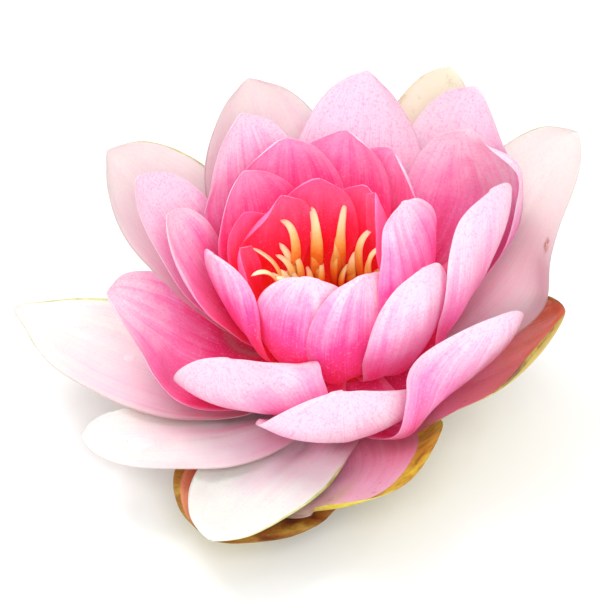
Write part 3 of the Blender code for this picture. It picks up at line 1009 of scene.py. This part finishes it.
@dataclass(frozen=True)
class Stamen:
    """One stamen: a flat strap, sized in millimetres, that stands up, bows and turns its tip outwards."""

    foot: Vector
    azimuth: float
    reach_mm: float
    height_mm: float
    width_mm: float
    thickness_mm: float = 0.75
    rise: float = 98.0
    lean: float = 20.0
    upright: float = 0.58
    hooked: float = 0.36
    twist: float = 0.0
    sides: int = 12
    steps: int = 22

    def grow(self, shape: bmesh.types.BMesh, along: bmesh.types.BMLayerItem) -> None:
        """Adds the stamen to a mesh in the making."""
        path = self._path()
        ring = bmesh.ops.create_circle(shape, cap_ends=True, radius=0.5, segments=self.sides)["verts"]
        face = ring[0].link_faces[0]
        turn = Matrix.Rotation(math.radians(self.azimuth + self.twist), 4, "Z")
        size = Matrix.Diagonal((self.thickness_mm * MM, self.width_mm * MM, 1.0, 1.0))
        bmesh.ops.transform(shape, verts=ring, matrix=Matrix.Translation(path[0]) @ turn @ size)
        face.normal_update()
        if face.normal.z < 0:
            face.normal_flip()
        base = bmesh.ops.duplicate(shape, geom=[face])["geom"]
        bmesh.ops.reverse_faces(shape, faces=[item for item in base if isinstance(item, bmesh.types.BMFace)])
        for vert in [item for item in base if isinstance(item, bmesh.types.BMVert)] + list(face.verts):
            vert[along] = 0.0
        heading = face.normal.copy()
        for step in range(1, len(path)):
            before, after = path[step - 1], path[step]
            towards = (path[min(step + 1, len(path) - 1)] - before).normalized()
            face = bmesh.ops.extrude_discrete_faces(shape, faces=[face])["faces"][0]
            turn = heading.rotation_difference(towards).to_matrix()
            shrink = self._width(step / self.steps) / self._width((step - 1) / self.steps)
            bmesh.ops.rotate(shape, verts=face.verts, cent=before, matrix=turn)
            bmesh.ops.translate(shape, verts=face.verts, vec=after - before)
            space = Matrix.Translation(-after)
            bmesh.ops.scale(shape, verts=face.verts, vec=(shrink,) * 3, space=space)
            heading = towards
            for vert in face.verts:
                vert[along] = step / self.steps

    def _path(self) -> list[Vector]:
        """Returns points from the foot to the tip."""
        turn = math.radians(self.azimuth)
        outwards = Vector((math.cos(turn), math.sin(turn), 0))
        tip = self.foot + outwards * (self.reach_mm * MM) + Vector((0, 0, self.height_mm * MM))
        length = (tip - self.foot).length

        def sloped(angle: float) -> Vector:
            """Returns the direction at an angle above the horizon."""
            return outwards * math.cos(math.radians(angle)) + Vector((0, 0, math.sin(math.radians(angle))))

        first = self.foot + sloped(self.rise) * (length * self.upright)
        second = tip - sloped(self.lean) * (length * self.hooked)
        return interpolate_bezier(self.foot, first, second, tip, self.steps + 1)

    @staticmethod
    def _width(share: float) -> float:
        """Returns the strap's width at a share of its length, as a share of its widest."""
        swell = 0.80 + 0.20 * math.sin(min(share / 0.6, 1.0) * math.pi)
        cap = max(1 - (max(share - 0.86, 0.0) / 0.14) ** 2, 0.03)
        return (swell - 0.24 * ease(share, 0.5, 0.95)) * math.sqrt(cap)


@dataclass
class StamenRing:
    """The broad stamens, one piece for each node, and the slender ones inside them as one piece."""

    frame: dict
    axis: Vector
    slender_rings: tuple = ((10.2, 13, 12.0, 1.9), (9.2, 14, 9.5, 1.7), (8.2, 15, 7.0, 1.4))
    slot: str = "stamen_cream"

    def build(self) -> list[bpy.types.Object]:
        """Makes and dresses every stamen.

        Returns:
            The pieces.
        """
        material = STAMEN_FINISH.material()
        names = sorted(name for name in self.frame["nodes"] if name.startswith("broad_stamen"))
        pieces = [self._broad(name, index, material) for index, name in enumerate(names)]
        pieces.append(self._slender(material))
        LOG.info("%d pieces of stamens", len(pieces))
        return pieces

    def _broad(self, name: str, index: int, material: bpy.types.Material) -> bpy.types.Object:
        """Makes one broad stamen where its node stands."""
        low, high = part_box(name)
        points = [vert.co for vert in self.frame["nodes"][name].data.vertices]
        near_foot = [point for point in points if point.z < low.z + 0.5 * MM]
        near_tip = [point for point in points if point.z > high.z - 0.5 * MM]
        foot = sum(near_foot, Vector()) / len(near_foot)
        tip = sum(near_tip, Vector()) / len(near_tip)
        foot.z = low.z - 0.6 * MM
        outwards = foot - self.axis
        azimuth = math.degrees(math.atan2(outwards.y, outwards.x))
        source = random.Random(index)
        reach = (tip - foot).xy.dot(outwards.xy.normalized()) / MM
        stamen = Stamen(
            foot,
            azimuth + source.uniform(-4, 4),
            reach + source.uniform(1.0, 3.2),
            (tip.z - foot.z) / MM - source.uniform(0.5, 4.0),
            2.35 + source.uniform(-0.25, 0.3),
            lean=source.uniform(-30, 40),
            twist=source.uniform(-25, 25),
        )
        shape = bmesh.new()
        along = shape.verts.layers.float.new("along")
        stamen.grow(shape, along)
        piece = link_piece(shape, f"{name}_strap", material)
        stand_for(piece, name, self.slot)
        return piece

    def _slender(self, material: bpy.types.Material) -> bpy.types.Object:
        """Makes the slender stamens in their rings."""
        low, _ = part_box("slender_stamens")
        source = random.Random(5)
        shape = bmesh.new()
        along = shape.verts.layers.float.new("along")
        for radius, count, height, width in self.slender_rings:
            for index in range(count):
                azimuth = 360 * (index + source.uniform(-0.25, 0.25)) / count
                turn = math.radians(azimuth)
                foot = Vector((math.cos(turn), math.sin(turn), 0)) * (radius * MM) + self.axis
                foot.z = low.z - 0.4 * MM
                Stamen(
                    foot,
                    azimuth + source.uniform(-14, 14),
                    source.uniform(1.4, 4.8),
                    height + source.uniform(-2.2, 2.2),
                    width + source.uniform(-0.15, 0.25),
                    thickness_mm=0.66,
                    lean=source.uniform(-45, 30),
                    twist=source.uniform(-30, 30),
                    sides=8,
                    steps=14,
                ).grow(shape, along)
        piece = link_piece(shape, "slender_stamens_whorl", material)
        stand_for(piece, "slender_stamens", self.slot)
        return piece


# ---------------------------------------------------------------- pistil and stem


@dataclass
class Turned:
    """A solid of revolution about the flower's axis.

    Its profile is made of (radius, height) pairs in millimetres, from the top down.
    """

    axis: Vector
    steps: int = 112
    parts: int = 4

    def spin(
        self, profile: Sequence[tuple[float, float]]
    ) -> tuple[bmesh.types.BMesh, bmesh.types.BMLayerItem]:
        """Turns a profile, with a smooth curve through its points.

        Args:
            profile: Pairs from the axis at the top, down the outer side, to the axis at the bottom.

        Returns:
            The closed mesh in the making, and its layer "along".
        """
        points = [Vector((radius, height, 0)) for radius, height in profile]
        places = [step / self.parts for step in range((len(points) - 1) * self.parts + 1)]
        curve = [smooth_point(points, place) for place in places]
        shape = bmesh.new()
        along = shape.verts.layers.float.new("along")
        corners = [shape.verts.new(self.axis + Vector((max(at.x, 0.0) * MM, 0, at.y * MM))) for at in curve]
        edges = [shape.edges.new(pair) for pair in zip(corners, corners[1:])]
        whole_turn = {"cent": self.axis, "axis": (0, 0, 1), "angle": math.tau, "steps": self.steps}
        bmesh.ops.spin(shape, geom=corners + edges, use_merge=True, **whole_turn)
        bmesh.ops.remove_doubles(shape, verts=shape.verts, dist=0.005 * MM)
        bmesh.ops.recalc_face_normals(shape, faces=shape.faces)
        return shape, along


def turned_size(node: str, axis: Vector) -> tuple[Vector, float, float]:
    """Returns a node's foot on the axis, and its radius and height in millimetres."""
    low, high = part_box(node)
    return Vector((axis.x, axis.y, low.z)), (high.x - low.x) / 2 / MM, (high.z - low.z) / MM


@dataclass
class Pistil:
    """The stigma disc with raised rays, an upturned rim and a knob at its centre."""

    axis: Vector
    rays: int = 16
    ridge_mm: float = 0.28
    slot: str = "pistil_gold"

    def build(self) -> bpy.types.Object:
        """Makes and dresses the pistil.

        Returns:
            Its object.
        """
        base, radius, height = turned_size("pistil", self.axis)
        profile = [(0.0, height), (0.55, height * 0.96), (1.0, height * 0.82), (1.25, height * 0.6)]
        profile += [(1.6, height * 0.44), (radius * 0.5, height * 0.38), (radius * 0.75, height * 0.46)]
        profile += [(radius * 0.92, height * 0.66), (radius * 0.98, height * 0.74), (radius, height * 0.66)]
        profile += [(radius * 0.99, height * 0.3), (radius * 0.9, 0.0), (0.0, 0.0)]
        shape, along = Turned(base).spin(profile)
        for vert in shape.verts:
            offset = vert.co - base
            share = offset.xy.length / (radius * MM)
            ray = 0.5 + 0.5 * math.cos(self.rays * math.atan2(offset.y, offset.x))
            raised = ray * ease(share, 0.25, 0.6) * ease(offset.z, 0.2 * height * MM, 0.4 * height * MM)
            vert.co.z += raised * self.ridge_mm * MM
            vert[along] = 0.25 + 0.75 * raised if share > 0.26 else 0.9
        piece = link_piece(shape, "pistil_disc", STIGMA_FINISH.material())
        stand_for(piece, "pistil", self.slot)
        LOG.info("%s: %d rays", piece.name, self.rays)
        return piece


@dataclass
class Receptacle:
    """The swollen end of the stem that carries everything, down to the cut."""

    axis: Vector
    swell_mm: float = 1.1
    ribs: int = 22
    slot: str = "stem_green"

    def build(self) -> bpy.types.Object:
        """Makes and dresses the receptacle.

        Returns:
            Its object.
        """
        base, radius, height = turned_size("receptacle", self.axis)
        stem, swell = radius * 0.40, self.swell_mm
        profile = [(0.0, height - 2.6), (radius * 0.44, height - 2.6), (radius * 0.53, height - 1.8)]
        profile += [(radius * 0.56, height - 0.3), (radius * 0.66, height), (radius * 0.9, height - 0.1)]
        profile += [(radius + swell, height - 1.6), (radius + swell, height * 0.62)]
        profile += [(radius * 0.88 + swell, height * 0.45), (radius * 0.62 + swell, height * 0.33)]
        profile += [(stem + 0.6, height * 0.24), (stem, height * 0.16), (stem, 0.5)]
        profile += [(stem * 0.93, 0.0), (0.0, 0.0)]
        shape, along = Turned(base).spin(profile)
        for vert in shape.verts:
            offset = vert.co - base
            share = offset.z / (height * MM)
            angle = math.atan2(offset.y, offset.x)
            rib = 1 + 0.012 * math.cos(self.ribs * angle) * ease(share, 0.1, 0.4)
            vert.co.x = base.x + offset.x * rib
            vert.co.y = base.y + offset.y * rib
            vert[along] = max(share, 0.0)
        piece = link_piece(shape, "receptacle_cup", STEM_FINISH.material())
        stand_for(piece, "receptacle", self.slot)
        LOG.info("%s: %.1f mm high", piece.name, height)
        return piece


# ---------------------------------------------------------------- water drops


@dataclass(frozen=True)
class Drop:
    """A drop of water that sits on a blade's inner face."""

    name: str
    node: str
    along: float
    across: float
    width_mm: float
    length_mm: float
    height_mm: float

    FLATTENED_BELOW = 0.18
    LOOK_AHEAD = 0.06
    LIFT_MM = 0.05

    def build(self, blade: bpy.types.Object, material: bpy.types.Material) -> bpy.types.Object:
        """Makes the drop on its blade.

        Args:
            blade: The petal or sepal that it lies on.
            material: Clear water.

        Returns:
            The drop's object.
        """
        point, normal, heading = self._seat(blade.data)
        shape = bmesh.new()
        bmesh.ops.create_uvsphere(shape, u_segments=40, v_segments=24, radius=0.5)
        for vert in shape.verts:
            if vert.co.z < 0:
                vert.co.z *= self.FLATTENED_BELOW
        sideways = normal.cross(heading)
        turn = Matrix((heading, sideways, normal)).transposed().to_4x4()
        size = Matrix.Diagonal((self.length_mm * MM, self.width_mm * MM, 2 * self.height_mm * MM, 1.0))
        bmesh.ops.transform(shape, verts=shape.verts, matrix=Matrix.Translation(point) @ turn @ size)
        piece = link_piece(shape, self.name, material)
        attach(piece, BODY)
        LOG.info("%s lies on %s", self.name, self.node)
        return piece

    def _seat(self, mesh: bpy.types.Mesh) -> tuple[Vector, Vector, Vector]:
        """Returns the place on the inner face, its normal and the way to the tip."""
        marks = ("along", "across", "inside")
        read = list(zip(*([item.value for item in mesh.attributes[mark].data] for mark in marks)))
        inner = [index for index, (_, _, inside) in enumerate(read) if inside > 0.5]

        def nearest(along: float) -> bpy.types.MeshVertex:
            """Returns the inner point nearest to a share of the length."""
            gaps = {index: (read[index][0] - along, (read[index][1] - self.across) * 0.4) for index in inner}
            return mesh.vertices[min(inner, key=lambda index: math.hypot(*gaps[index]))]

        here, further = nearest(self.along), nearest(self.along + self.LOOK_AHEAD)
        normal = here.normal.copy()
        heading = further.co - here.co
        heading = (heading - normal * heading.dot(normal)).normalized()
        return here.co + normal * (self.LIFT_MM * MM), normal, heading


DROPS = (
    Drop("water_drop_large", "outer_petal_front_left", 0.76, 0.05, 5.2, 6.4, 2.2),
    Drop("water_drop_small", "outer_petal_far_left", 0.56, 0.0, 2.2, 2.6, 1.0),
)


# ---------------------------------------------------------------- studio


@dataclass(frozen=True)
class SoftBox:
    """A square soft light: its place from the foot of the flower's axis, its edge and its watts."""

    name: str
    place: tuple[float, float, float]
    size: float
    power: float

    def hang(self, foot: Vector) -> None:
        """Hangs the light so that it looks at the foot of the axis."""
        light = bpy.data.lights.new(self.name, "AREA")
        light.size = self.size
        light.energy = self.power
        lamp = bpy.data.objects.new(self.name, light)
        lamp.location = foot + Vector(self.place)
        lamp.rotation_euler = (-Vector(self.place)).to_track_quat("-Z", "Y").to_euler()
        bpy.context.scene.collection.objects.link(lamp)


SOFT_BOXES = (
    SoftBox("key_light", (-0.25, 0.30, 0.62), 0.36, 2.4),
    SoftBox("front_fill", (0.05, -0.52, 0.56), 0.50, 3.0),
    SoftBox("sparkle", (0.30, 0.10, 0.55), 0.03, 0.12),
)


@dataclass
class Studio:
    """A plain table, soft lights and the camera."""

    axis: Vector
    cup_top: float
    elevation: float = 42.0
    lens: float = 100.0
    sensor: float = 36.0
    view_width: float = 0.1373
    aim_right: float = -0.0064
    aim_up: float = 0.00915
    aim_below_cup: float = 0.008
    floor_size: float = 6.0
    sky_strength: float = 0.85

    def build(self) -> None:
        """Makes the table, the lights, the sky and the camera."""
        self._floor()
        self._sky()
        for box in SOFT_BOXES:
            box.hang(self.axis)
        self._camera()
        bpy.context.scene.view_settings.view_transform = "Standard"

    def _floor(self) -> None:
        """Makes the table top just under the flower."""
        shape = bmesh.new()
        bmesh.ops.create_grid(shape, x_segments=1, y_segments=1, size=self.floor_size / 2)
        bmesh.ops.translate(shape, verts=shape.verts, vec=(0, 0, -0.1 * MM))
        link_piece(shape, "table_top", FloorFinish().material())

    def _sky(self) -> None:
        """Lights everything evenly."""
        world = bpy.data.worlds.new("soft_sky")
        world.use_nodes = True
        background = world.node_tree.nodes["Background"]
        background.inputs["Color"].default_value = (1.0, 1.0, 1.0, 1.0)
        background.inputs["Strength"].default_value = self.sky_strength
        bpy.context.scene.world = world

    def _camera(self) -> None:
        """Looks down on the flower from the front."""
        tilt = math.radians(self.elevation)
        back = Vector((0, -math.cos(tilt), math.sin(tilt)))
        right = Vector((1, 0, 0))
        above = back.cross(right)
        target = Vector((self.axis.x, self.axis.y, self.cup_top - self.aim_below_cup))
        target += right * self.aim_right + above * self.aim_up
        camera = bpy.data.cameras.new("camera")
        camera.lens = self.lens
        camera.sensor_width = self.sensor
        stand = bpy.data.objects.new("camera", camera)
        stand.location = target + back * (self.view_width * self.lens / self.sensor)
        stand.rotation_euler = (-back).to_track_quat("-Z", "Y").to_euler()
        bpy.context.scene.collection.objects.link(stand)
        bpy.context.scene.camera = stand


# ---------------------------------------------------------------- main


def main() -> None:
    """Builds the flower around its frame, then the studio."""
    logging.basicConfig(level=logging.INFO, format="%(name)s: %(message)s")
    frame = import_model()
    low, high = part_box("receptacle")
    axis = Vector(((low.x + high.x) / 2, (low.y + high.y) / 2, low.z))
    blades = Corolla(frame, axis).build()
    StamenRing(frame, axis).build()
    Pistil(axis).build()
    Receptacle(axis).build()
    water = WaterFinish().material()
    for drop in DROPS:
        drop.build(blades[drop.node], water)
    Studio(axis, high.z).build()


if __name__ == "__main__":
    main()
